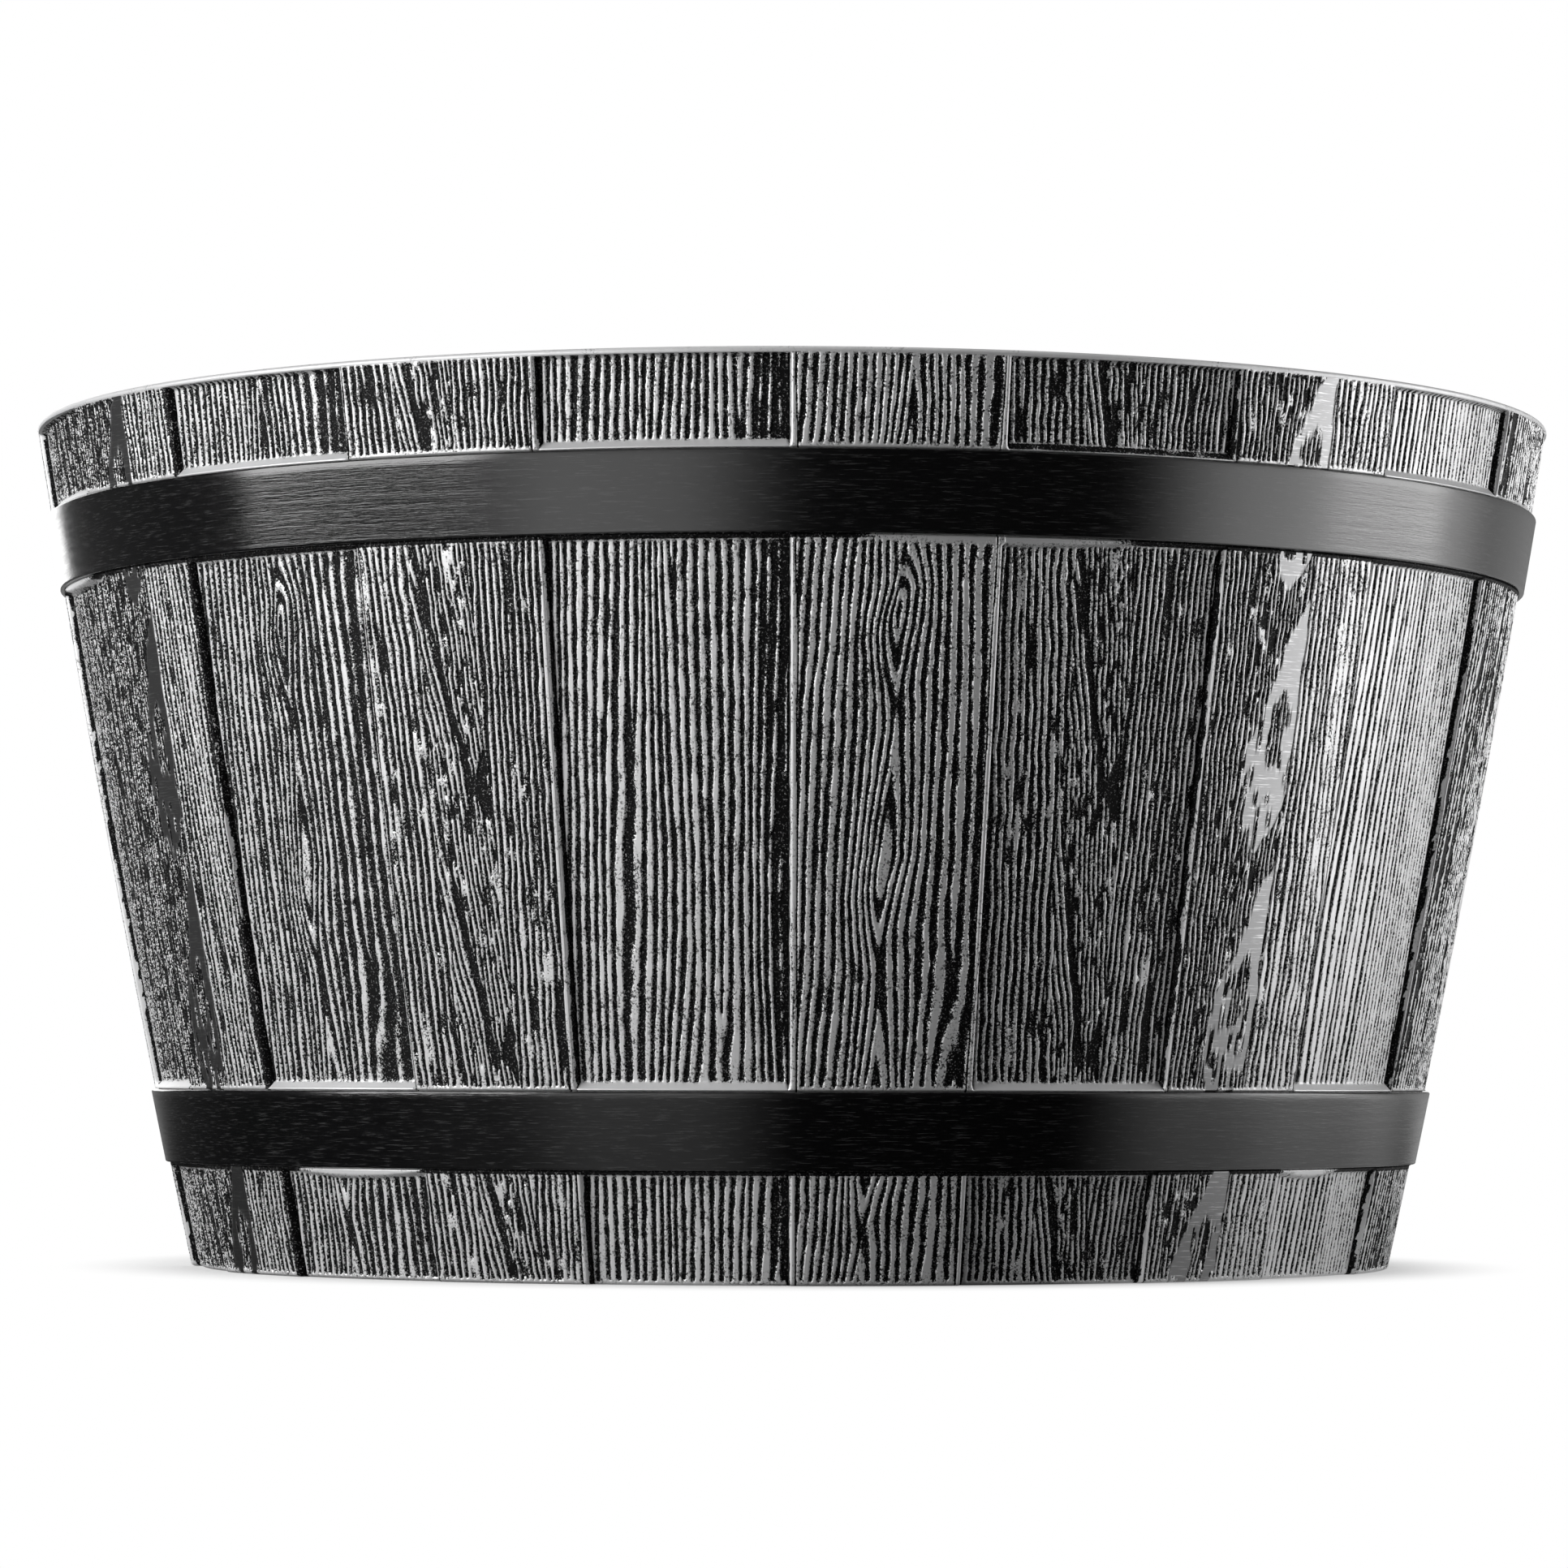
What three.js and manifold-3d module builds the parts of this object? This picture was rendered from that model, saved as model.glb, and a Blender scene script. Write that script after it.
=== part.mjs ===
// Barrel planter: one moulded resin tub whose wall carries the relief of barrel
// staves, two hoops seated in shallow grooves round it, and drain plugs in its
// floor. Millimetres, +Z up, the origin at the middle of the face it stands on.
import * as THREE from 'three';
import { mergeVertices } from 'three/addons/utils/BufferGeometryUtils.js';
import Module from 'manifold-3d';

const wasm = await Module();
wasm.setup();

// Overall sizes, measured on the proud staves
const topRadius = 205;
const baseRadius = 162;
const height = 225;
const belly = 1.5; // bulge of the wall outside a straight cone at half height

// Staves: each pair is one proud stave and one recessed stave
const stavePairs = 11;
const proudShare = 5 / 11; // of a pair's angle
const staveStep = 2.2; // how far a recessed stave lies behind a proud one
const stepDraft = 0.4; // degrees that the slanted side of a step takes
const facetsPerStave = 3;

// Hoops
const upperHoopDrop = 24; // from the top of the rim down to the hoop
const upperHoopWidth = 20;
const lowerHoopLift = 28; // from the ground up to the hoop
const lowerHoopWidth = 19.3;
const hoopThickness = 1.5;
const hoopProud = 0.9; // of a proud stave
const hoopEdge = 0.5; // rounding along the hoop's outside edges
const fitGap = 0.3; // between pieces that seat on each other

// Shell
const wall = 3; // behind a recessed stave
const floorThickness = 4;
const floorLift = 8; // from the ground to the underside of the floor
const floorFillet = 8;
const footWidth = 10;
const footRound = 0.8;
const ledgeRise = 2; // slope from a recessed stave out to a hoop seat
const rimLip = 1.5; // plain round lip above the staves
const rimRound = 1;
const rimWidth = 9;
const rimDepth = 10;
const rimTaper = 6;

// Drain holes and plugs
const outerDrains = 4;
const drainCircle = 95; // radius of the circle of outer drain holes
const drainHole = 6; // radius
const plugReach = 3; // how far a plug's shank passes through the floor
const plugTip = 4.4; // radius at the end of the shank
const flangeRadius = 10;
const flangeThickness = 2.5;
const gripShoulder = 3.8; // radius where the flange's top ends
const gripNeck = 2.4; // radius
const gripHead = 4; // radius
const gripCrown = 2.8; // radius of the flat on top of the head
const gripRise = 6;
const roundFacets = 24; // round a drain hole or a plug
const cavityFacets = 66; // round the inside of the tub
const filletFacets = 3;
const cutBeyond = 1; // how far a cut runs past the face it opens through
const samePoint = 1e-4; // corners this near each other are one corner

const full = 2 * Math.PI;
const pairAngle = full / stavePairs;
const proudAngle = pairAngle * proudShare;
const innerSet = staveStep + wall; // from a proud stave's face to the inside
const seatDepth = hoopThickness + fitGap - hoopProud;
const floorTop = floorLift + floorThickness;

const resin = new THREE.MeshStandardMaterial({
  color: 0x6f7072, roughness: 0.55, metalness: 0.25,
});
const hoopBlack = new THREE.MeshStandardMaterial({
  color: 0x17181a, roughness: 0.42, metalness: 0.3,
});
const rubber = new THREE.MeshStandardMaterial({
  color: 0x1c1c1c, roughness: 0.8, metalness: 0,
});

// Radius of the proud staves at a height
function wallRadius(z) {
  const t = z / height;
  return baseRadius + (topRadius - baseRadius) * t + belly * 4 * t * (1 - t);
}

// A closed body of one piece, made from triangles given as rows of corners
function bodyOf(points, faces) {
  const geometry = new THREE.BufferGeometry();
  geometry.setAttribute('position', new THREE.Float32BufferAttribute(points.flat(), 3));
  geometry.setIndex(faces.flat());
  return geometry;
}

function toSolid(geometry) {
  const bare = new THREE.BufferGeometry();
  bare.setAttribute('position', geometry.getAttribute('position'));
  bare.setIndex(geometry.getIndex());
  const merged = mergeVertices(bare, samePoint);
  return new wasm.Manifold(new wasm.Mesh({
    numProp: 3,
    vertProperties: new Float32Array(merged.getAttribute('position').array),
    triVerts: new Uint32Array(merged.getIndex().array),
  }));
}

function toGeometry(solid) {
  const mesh = solid.getMesh();
  const geometry = new THREE.BufferGeometry();
  geometry.setAttribute('position', new THREE.Float32BufferAttribute(mesh.vertProperties, 3));
  geometry.setIndex([...mesh.triVerts]);
  geometry.computeVertexNormals();
  return geometry;
}

function named(name, geometry, material) {
  const mesh = new THREE.Mesh(geometry, material);
  mesh.name = name;
  return mesh;
}

// A profile of [radius, height] pairs turned about +Z
function turned(profile, facets) {
  const points = profile.map(([radius, z]) => new THREE.Vector2(radius, z));
  return new THREE.LatheGeometry(points, facets).rotateX(Math.PI / 2);
}

// Columns round the wall, counted from the front (-Y) towards +X. A pair of
// close columns, one proud and one recessed, makes the side of each step.
function staveColumns() {
  const draft = THREE.MathUtils.degToRad(stepDraft) / 2;
  const columns = [];
  const stave = (start, end, recessed) => {
    for (let i = 0; i <= facetsPerStave; i++) {
      const share = i / facetsPerStave;
      const angle = THREE.MathUtils.lerp(start + draft, end - draft, share);
      columns.push({ angle, recessed });
    }
  };
  for (let pair = 0; pair < stavePairs; pair++) {
    const start = pair * pairAngle;
    stave(start, start + proudAngle, false);
    stave(start + proudAngle, start + pairAngle, true);
  }
  return columns;
}

// Rings of columns joined into a skin. A closed section, such as a hoop's,
// joins its last ring to its first; an open one ends in a flat at each end.
function wrap(columns, rings, closed) {
  const points = rings.flatMap((ring) => columns.map((column) => {
    const radius = ring.radius(column);
    return [radius * Math.sin(column.angle), -radius * Math.cos(column.angle), ring.z];
  }));
  const around = columns.length;
  const faces = [];
  const band = (low, high) => {
    for (let i = 0; i < around; i++) {
      const next = (i + 1) % around;
      const [a, b] = [low * around + i, low * around + next];
      const [c, d] = [high * around + next, high * around + i];
      faces.push([a, b, c], [a, c, d]);
    }
  };
  for (let ring = 1; ring < rings.length; ring++) {
    band(ring - 1, ring);
  }
  if (closed) {
    band(rings.length - 1, 0);
    return bodyOf(points, faces);
  }
  const bottom = points.push([0, 0, rings[0].z]) - 1;
  const top = points.push([0, 0, rings.at(-1).z]) - 1;
  const last = (rings.length - 1) * around;
  for (let i = 0; i < around; i++) {
    const next = (i + 1) % around;
    faces.push([bottom, next, i], [top, last + i, last + next]);
  }
  return bodyOf(points, faces);
}

// One ring of the tub's outside: set in from the proud face by inset, and on
// recessed staves by a further share of the step
function wallRing(z, recessShare, inset = 0) {
  const radius = ({ recessed }) => (
    wallRadius(z) - inset - (recessed ? recessShare * staveStep : 0)
  );
  return { z, radius };
}

// The groove that holds a hoop, with the ledges that rise to it
function seatRings(low, high) {
  const [under, over] = [low - fitGap, high + fitGap];
  return [
    wallRing(under - ledgeRise, 1),
    wallRing(under, 0),
    wallRing(under, 0, seatDepth),
    wallRing(over, 0, seatDepth),
    wallRing(over, 0),
    wallRing(over + ledgeRise, 1),
  ];
}

const upperHoopTop = height - upperHoopDrop;
const upperHoopBase = upperHoopTop - upperHoopWidth;
const lowerHoopTop = lowerHoopLift + lowerHoopWidth;
const betweenHoops = upperHoopBase - lowerHoopTop;
const columns = staveColumns();

function drainPlaces() {
  const places = [new THREE.Vector2(0, 0)];
  for (let i = 0; i < outerDrains; i++) {
    const angle = (i + 0.5) / outerDrains * full;
    places.push(new THREE.Vector2(Math.cos(angle), Math.sin(angle)).multiplyScalar(drainCircle));
  }
  return places;
}

function tubOutside() {
  const staveTop = height - rimLip;
  return wrap(columns, [
    wallRing(0, 1, footRound),
    wallRing(footRound, 1),
    ...seatRings(lowerHoopLift, lowerHoopTop),
    wallRing(lowerHoopTop + betweenHoops / 3, 1),
    wallRing(lowerHoopTop + betweenHoops * 2 / 3, 1),
    ...seatRings(upperHoopBase, upperHoopTop),
    wallRing(staveTop - staveStep, 1),
    wallRing(staveTop, 0),
    wallRing(height - rimRound / 2, 0),
    wallRing(height, 0, rimRound),
  ], false);
}

// The room for soil, with a rounded foot and a rim thicker than the wall
function plantingRoom() {
  const inside = (z) => wallRadius(z) - innerSet;
  const rimInside = topRadius - rimWidth;
  const rimFoot = height - rimDepth;
  const filletTop = floorTop + floorFillet;
  const fillet = [];
  for (let i = 0; i <= filletFacets; i++) {
    const angle = i / filletFacets * Math.PI / 2;
    const across = floorFillet * (1 - Math.sin(angle));
    fillet.push([inside(filletTop) - across, filletTop - floorFillet * Math.cos(angle)]);
  }
  return turned([
    [0, floorTop],
    ...fillet,
    [inside(height / 2), height / 2],
    [inside(rimFoot - rimTaper), rimFoot - rimTaper],
    [rimInside, rimFoot],
    [rimInside, height + cutBeyond],
    [0, height + cutBeyond],
  ], cavityFacets);
}

// The hollow under the floor, inside the foot
function underHollow() {
  const radius = baseRadius - footWidth;
  return turned([
    [0, -cutBeyond],
    [radius, -cutBeyond],
    [radius, floorLift],
    [0, floorLift],
  ], cavityFacets);
}

function drainCut(place) {
  const depth = floorThickness + 2 * cutBeyond;
  const cut = new THREE.CylinderGeometry(drainHole, drainHole, depth, roundFacets);
  cut.rotateX(Math.PI / 2);
  return cut.translate(place.x, place.y, floorLift + floorThickness / 2);
}

function tub() {
  let solid = toSolid(tubOutside())
    .subtract(toSolid(plantingRoom()))
    .subtract(toSolid(underHollow()));
  for (const place of drainPlaces()) {
    solid = solid.subtract(toSolid(drainCut(place)));
  }
  return named('tub', toGeometry(solid), resin);
}

// A band of even thickness that follows the wall's slope between two heights
function hoop(name, low, high) {
  const ring = (z, proud) => ({ z, radius: () => wallRadius(z) + proud });
  const back = hoopProud - hoopThickness;
  const section = [
    ring(low, back),
    ring(low, hoopProud - hoopEdge),
    ring(low + hoopEdge, hoopProud),
    ring(high - hoopEdge, hoopProud),
    ring(high, hoopProud - hoopEdge),
    ring(high, back),
  ];
  return named(name, toGeometry(toSolid(wrap(columns, section, true))), hoopBlack);
}

// A stopper that hangs in its hole by a flange, with a small head to pull it by
function drainPlug(name, place) {
  const shank = drainHole - fitGap;
  const under = fitGap; // the flange's underside, above the floor
  const shankEnd = -floorThickness - plugReach;
  const flangeTop = under + flangeThickness;
  const top = flangeTop + gripRise;
  const geometry = turned([
    [0, shankEnd],
    [plugTip, shankEnd],
    [shank, shankEnd + plugReach],
    [shank, under],
    [flangeRadius, under],
    [flangeRadius, under + flangeThickness / 2],
    [gripShoulder, flangeTop],
    [gripNeck, top - gripHead],
    [gripHead, top - gripHead / 2],
    [gripCrown, top],
    [0, top],
  ], roundFacets);
  const plug = named(name, geometry, rubber);
  plug.position.set(place.x, place.y, floorTop);
  return plug;
}

const planter = new THREE.Group();
planter.add(
  tub(),
  hoop('lower_hoop', lowerHoopLift, lowerHoopTop),
  hoop('upper_hoop', upperHoopBase, upperHoopTop),
);
drainPlaces().forEach((place, i) => planter.add(drainPlug(`drain_plug_${i + 1}`, place)));

export default planter;
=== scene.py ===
import math

import bmesh
import bpy
import numpy as np
from mathutils import Matrix, Vector


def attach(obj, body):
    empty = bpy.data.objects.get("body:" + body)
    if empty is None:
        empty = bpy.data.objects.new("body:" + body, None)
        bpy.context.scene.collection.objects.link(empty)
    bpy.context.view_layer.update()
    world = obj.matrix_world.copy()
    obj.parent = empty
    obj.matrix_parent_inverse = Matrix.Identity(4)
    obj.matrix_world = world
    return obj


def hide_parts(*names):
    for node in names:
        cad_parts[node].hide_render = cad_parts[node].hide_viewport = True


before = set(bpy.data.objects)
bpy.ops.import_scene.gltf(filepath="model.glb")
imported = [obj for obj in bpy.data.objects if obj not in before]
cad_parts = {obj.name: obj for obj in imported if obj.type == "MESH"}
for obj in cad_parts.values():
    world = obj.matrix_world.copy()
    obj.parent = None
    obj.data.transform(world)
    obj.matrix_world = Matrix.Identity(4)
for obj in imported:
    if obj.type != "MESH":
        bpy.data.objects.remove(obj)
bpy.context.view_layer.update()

# ---- Camera ----
# The photograph is taken from low down in front of the tub, looking slightly up, with a long lens. Its place
# comes from a fit to the rim, the hoops and the bottom edge. Sizes in this script are millimetres.
MM = 0.001
sensor_width = 36.0
lens = 132.8
camera_distance = 1575.8
camera_height = 50.45
camera_pitch = math.radians(2.918)
camera_yaw = math.radians(-0.072)
camera_roll = math.radians(0.132)

ahead = Vector((math.sin(camera_yaw), math.cos(camera_yaw), 0))
forward = ahead * math.cos(camera_pitch) + Vector((0, 0, math.sin(camera_pitch)))
level = forward.cross(Vector((0, 0, 1))).normalized()
upright = level.cross(forward)
right = level * math.cos(camera_roll) + upright * math.sin(camera_roll)
up = -level * math.sin(camera_roll) + upright * math.cos(camera_roll)
camera_data = bpy.data.cameras.new("camera")
camera_data.sensor_fit = "HORIZONTAL"
camera_data.sensor_width = sensor_width
camera_data.lens = lens
camera_data.clip_start = 0.05
camera_data.clip_end = 50
camera = bpy.data.objects.new("camera", camera_data)
bpy.context.scene.collection.objects.link(camera)
placed = Matrix((right, up, -forward)).transposed().to_4x4()
placed.translation = Vector((0, -camera_distance, camera_height)) * MM
camera.matrix_world = placed
bpy.context.scene.camera = camera

# ---- Stave panels ----
# The outside of the tub is moulded in resin as twenty-two barrel staves with a deep wood grain, every other
# one set back. It is one moulding, cut here along the steps between staves to give each panel its own map.
# Silver colour is wiped over it: it stays on the raised grain, the rounded edges and the ledges at the hoops,
# but a narrow band under each hoop is painted black as the hoop's shadow.
FULL = 2 * math.pi
top_radius = 205
base_radius = 162
height = 225
belly = 1.5
stave_pairs = 11
pair_angle = FULL / stave_pairs
proud_share = 5 / 11  # how much of a pair is its proud stave
proud_angle = pair_angle * proud_share
stave_step = 2.2
step_draft = math.radians(0.2)  # from the middle of a step's slanted side to its foot, where the cut is
hoop_heights = ((28, 47.3), (181, 201))
fit_gap = 0.3
ledge_rise = 2  # of the slope from a recessed stave out to the top of a hoop
under_ledge = 1.0  # and out to the lower edge of a hoop
lip_slope = 0.9  # and out to the lip
seat_depth = 0.9  # of the groove that a hoop sits in
foot_round = 0.8
panel_top = 223.8
stave_top = 223.9  # where the recessed staves have sloped out to the lip
skin = 0.3  # how far the smooth surface lies inside the faceted wall
panel_back = 3.8  # from the wall to the hidden back of a panel
grain_depth = 0.45
column_width = 0.26
row_height = 1.15
fine_row = 0.4
fine_reach = 2.4
back_columns = 9
edge_columns = 7
edge_reach = 1.0  # of the close columns at the edge of a proud stave
edge_rounding = 1.1  # how far in from its edge a proud stave is rounded
edge_bow = 2.6  # how full that rounding is
border = (0.15, 0.5)  # the grooves run out between these distances from a panel's edge
dark_side = 0.33  # width of the dark crevice beside a step
speckled_steps = (6, 10)  # proud staves with specks of silver on the steps at their sides
dark_ledges = (1, 7, 15)  # recessed staves whose ledge over the upper hoop took little
map_margin = 0.01
front_band = (0.04, 0.95)  # where the outside of a panel starts in its map, and its share of the height
back_band = (0.005, 0.02)  # and the same for its hidden back and sides

# A proud stave has a bead along both edges. A bead has its stave's number, and a half more at the right edge.
broad_beads = (20.5, 0, 0.5, 4.5, 8, 12.5)
worn_beads = (18, 18.5)  # with most of the silver worn away
broad_bead = 1.35
thin_bead = 0.45
bead_groove = 0.4

# Thin lines of silver under a hoop: the hoop's lower edge, then a line's middle and half its width in degrees
slivers = ((181, 15, 11), (181, -74, 7), (28, -40.5, 8.5), (28, 52, 5), (181, 118, 13), (28, 165, 12))
sliver_height = 1.7


def wall_radius(z):
    """Radius of the proud staves at a height."""
    t = z / height
    return base_radius + (top_radius - base_radius) * t + belly * 4 * t * (1 - t)


def ramp(x, low, high):
    """0 below low and 1 above high, smooth between."""
    t = np.clip((x - low) / (high - low), 0, 1)
    return t * t * (3 - 2 * t)


def knots(x, *pairs):
    """A line through points given as x, y, x, y and so on, which eases towards each point."""
    xs, ys = np.array(pairs[::2], float), np.array(pairs[1::2], float)
    i = np.clip(np.searchsorted(xs, x) - 1, 0, len(xs) - 2)
    straight_part = (x - xs[i]) / (xs[i + 1] - xs[i])
    return ys[i] + (ys[i + 1] - ys[i]) * (0.4 * straight_part + 0.6 * ramp(straight_part, 0, 1))


def ripple(x, y, seed):
    """A smooth random surface between -1 and 1, with one bump to each unit of x and y."""
    size = 64
    lattice = np.random.default_rng(seed).uniform(-1, 1, (size, size))
    x, y = np.broadcast_arrays(x, y)
    i, j = np.floor(x).astype(int), np.floor(y).astype(int)
    u, v = ramp(x - i, 0, 1), ramp(y - j, 0, 1)
    i, j, i_next, j_next = i % size, j % size, (i + 1) % size, (j + 1) % size
    low = lattice[i, j] * (1 - u) + lattice[i_next, j] * u
    high = lattice[i, j_next] * (1 - u) + lattice[i_next, j_next] * u
    return low * (1 - v) + high * v


# A grain figure gives two fields over a stave, from s, the distance across from its middle line, and z. The
# first is above 0 on a ridge and below 0 in a groove. The second is above 0 on a smooth bare patch.
no_patch = -1.0
middle_height = 112  # the height about which the figures lean
repeat = 65.0  # the figures repeat up the stave at about this distance


def wander(s, z, seed, wide=0.8, narrow=0.3):
    """How far a ridge strays from a straight line."""
    stray = wide * ripple(s / 17, z / 45, seed) + narrow * ripple(s / 5, z / 13, seed + 1)
    return stray + 0.55 * narrow * ripple(s / 2.2, z / 3.6, seed + 2)


def forks(s, z, count, seed, clear=0, reach=27):
    """Turns of phase round points where one ridge splits into two."""
    rng = np.random.default_rng(seed)
    phase = 0
    for n in range(count):
        s_fork = rng.uniform(clear, reach) * rng.choice((-1, 1))
        z_fork = rng.uniform(8, 217)
        phase = phase + (-1) ** n * np.arctan2((z - z_fork) * 0.1, s - s_fork) / FULL
    return phase


def uneven_ridges(phase, z, seed, amount=0.45):
    """How much wider than the rest each ridge is along its length. A ridge lies at each whole phase."""
    ridge = np.round(phase)
    return amount * (ripple(ridge * 3.7, z / 38, seed) + 0.5 * ripple(ridge * 5.3, z / 7, seed + 1))


def strokes(u, z, pitch, bias, seed, gaps=0.0, bridges=0.0, gap_long=6, bridge_long=4):
    """Ridges side by side. A share of their length is broken away, and a share of the grooves is bridged."""
    line = np.cos(FULL * u / pitch) + bias
    breaks = ripple(np.round(u / pitch) * 5.37, z / gap_long, seed) + 1 - 2 * gaps
    ties = ripple(np.floor(u / pitch) * 7.13, z / bridge_long, seed + 1) - 1 + 2 * bridges
    return np.maximum(np.minimum(line, 3.2 * breaks), 2.6 * ties)


def diamond(s, z, seed=3):
    """Ridges that bow round a row of closed diamonds and points on the stave's middle."""
    u = s - 0.027 * (z - middle_height) + 0.3 - 0.8 * ripple(z / 24, 0.5, seed)
    u = u + wander(s, z, seed + 1, wide=0.8, narrow=0.24)
    u = np.where(u > 0, u / 1.12, u / 0.9)
    leaning = z - 5 * np.tanh(u / 2)  # the right side of a leaf swells higher up than its left side
    swell = knots(leaning, 0, 1.3, 13, 0.5, 34, 2.2, 69, 0.6, 80, 0.5, 101, 2.2, 132, 0.8, 140, 0.55,
                  163, 2.3, 174, 0.6, 203, 1.9, 226, 1.2)
    near = np.exp(-((u / (7 + 1.2 * ripple(z / 30, 2.5, seed))) ** 2))
    phase = np.sqrt(u * u + 0.06) / 2.8 - swell * near + 0.3 * ripple(s / 9, z / 60, seed + 3)
    phase = phase + forks(s, z, 4, seed + 9, clear=14)
    width = -0.06 + uneven_ridges(phase, z, seed + 4) + 0.45 * ripple(s / 1.2, z / 2.6, seed + 5)
    edge = 0.5 * ramp(s, 19, 25) * (1 + ripple(s / 1.5, z / 12, seed + 6))
    return np.cos(FULL * phase) + width - edge, no_patch + 0 * s


def sparse_diamond(s, z):
    """The diamonds with thinner ridges."""
    field, bare = diamond(s, z)
    return field - 0.25, bare


def straight(s, z, seed, pitch, bias, fade, lean, count, rough, squeeze=0.0):
    """Upright ridges with a few forks. Towards the right they may fade out or crowd together."""
    u = s - lean * (z - middle_height) + wander(s, z, seed + 1, wide=0.8, narrow=0.2 * rough)
    u = u + 9 * squeeze * ramp(s, 2, 30)
    phase = u / pitch + 0.75 * rough * ripple(s / 8, z / 90, seed + 3) + forks(s, z, count, seed + 9)
    width = bias + uneven_ridges(phase, z, seed + 4) + 0.42 * rough * ripple(s / 1.2, z / 2.6, seed + 5)
    width = width - fade * ramp(s, 20, 24) * (1.05 + 0.6 * ripple(s / 1.1, z / 9, seed + 6))
    return np.cos(FULL * phase) + width, no_patch + 0 * s


def arrow(s, z, seed=5, more=0.0):
    """Fine ridges that lean down into a row of dark points, between upright ridges on both sides."""
    first_tip = 57.0
    spread = 10.5
    left_pitch = 2.1
    middle_pitch = 1.75
    fine_pitch = 1.35
    right_pitch = 1.75
    axis = s - 1.2 + 0.02 * (z - middle_height)
    stray = wander(s, z, seed, wide=0.7, narrow=0.45)
    across = axis + spread * (z - first_tip) / repeat + stray
    nearest = np.round(across / spread)
    climbed = (z - first_tip - repeat * nearest) / repeat  # 0 at a lane's tip, 1 above the next tip
    lane = 1.35 - 0.8 * np.clip(climbed, 0, 1.2) - np.abs(across - spread * nearest)
    lane = np.where((climbed > -0.05) & (climbed < 1.15) & (axis < 2), lane, no_patch)
    t = (z - first_tip + 1.5 * axis + 2.0 * ripple(s / 1.5, z / 9, seed + 40)) / repeat % 1
    flank = 5.2 * ramp(t, -0.12, 0.36)
    notch = np.where(t < 0.34, np.minimum(axis - flank, 5.6 - axis), no_patch)
    dark = np.maximum(lane, notch) + 0.4 * ripple(s / 1.1, z / 3, seed + 30)
    u = axis + 0.06 * z + stray
    fine = strokes(
        u, z, fine_pitch, -0.2, seed + 15, gaps=0.29, bridges=0.12, gap_long=3.6, bridge_long=2.4)
    middle = strokes(
        across, z, middle_pitch, -0.15, seed + 5, gaps=0.18, bridges=0.1, gap_long=7, bridge_long=5)
    passed = (z - first_tip - repeat * np.floor(across / spread)) / repeat
    middle = np.where(passed < 1.1 + 0.2 * ripple(s / 2, z / 9, seed + 17), fine, middle)
    u = s + 0.05 * z + stray
    left_side = strokes(
        u, z, left_pitch, -0.25, seed + 25, gaps=0.18, bridges=0.07, gap_long=8, bridge_long=5)
    left_side = left_side + uneven_ridges(u / left_pitch, z, seed + 26, 0.4)
    u = s - 0.02 * z + wander(s, z, seed + 50, wide=0.5, narrow=0.45)
    right_side = strokes(
        u, z, right_pitch, -0.25, seed + 35, gaps=0.18, bridges=0.07, gap_long=8, bridge_long=5)
    right_side = right_side + uneven_ridges(u / right_pitch, z, seed + 36, 0.4)
    meeting = axis + 1.5 * ripple(s / 3, z / 12, seed + 60)
    field = np.where(meeting < -10, left_side, np.where(axis < 5.7, middle, right_side))
    return np.minimum(field + more, 1 - 4 * dark), no_patch + 0 * s


def full_arrow(s, z):
    """The row of points between fuller ridges."""
    return arrow(s, z, more=0.12)


def teardrop(s, z, seed=11, worn=0.0):
    """Bare leaf-shaped patches with islands of dashes in them, between fine ridges and broad ones."""
    first_tip = 105
    broad_pitch = 2.05
    fine_pitch = 1.6
    spot_pitch = 1.35
    axis = s + 6 - 0.01 * (z - middle_height)
    t = (z - first_tip + 4 * repeat + 1.5 * ripple(s / 2, z / 20, seed + 40)) / repeat % 1
    u = s + wander(s, z, seed, wide=0.8, narrow=0.45)
    shaken = u + 0.2 * ripple(s / 2, z / 5, seed + 9)
    broad = strokes(
        shaken, z, broad_pitch, 0.38, seed + 10, gaps=0.04, bridges=0.1, gap_long=8, bridge_long=9)
    broad = broad + uneven_ridges(u / broad_pitch, z, seed + 12)
    u = s + 0.03 * (z - middle_height) + wander(s, z, seed + 40, wide=0.8, narrow=0.5)
    fine = strokes(u, z, fine_pitch, -0.2, seed + 41, gaps=0.2, bridges=0.1, gap_long=6, bridge_long=5)
    u = s + wander(s, z, seed + 20, wide=0.5, narrow=0.6)
    spots = strokes(
        u, z, spot_pitch, -0.15, seed + 23, gaps=0.3, bridges=0.16, gap_long=3.2, bridge_long=2.4)
    field = np.where(axis > 9.6, broad, np.where(axis > -9, spots, fine))
    left = np.interp(t, (0, 0.1, 0.32, 0.45, 0.9, 1), (0.5, -3, -6.2, -6, 6.2, 9))
    right = np.interp(t, (0, 0.08, 0.2, 1), (0.5, 4.5, 9, 9.6))
    ragged = 0.6 * ripple(s / 1.1, z / 4, seed + 30) + 0.7 * ripple(s / 2.6, z / 9, seed + 31)
    patch = np.minimum(axis - left, right - axis) + ragged
    island = 1 - np.hypot((axis - 3.4 + 9 * (0.5 - t)) / 2.4, (t - 0.5) / 0.14)
    slits = 1.6 * (ripple(np.round(s / 1.3) * 4.7, z / 5, seed + 33) - 0.35)
    slits = np.where(t < 0.6, slits, no_patch)
    patch = np.minimum(patch, -2 * np.maximum(island, slits))
    return field - worn, np.clip(patch, -1, 1)


def worn_teardrop(s, z):
    """The bare patches, with much of the silver between them worn away."""
    return teardrop(s, z, worn=0.68)


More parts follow.
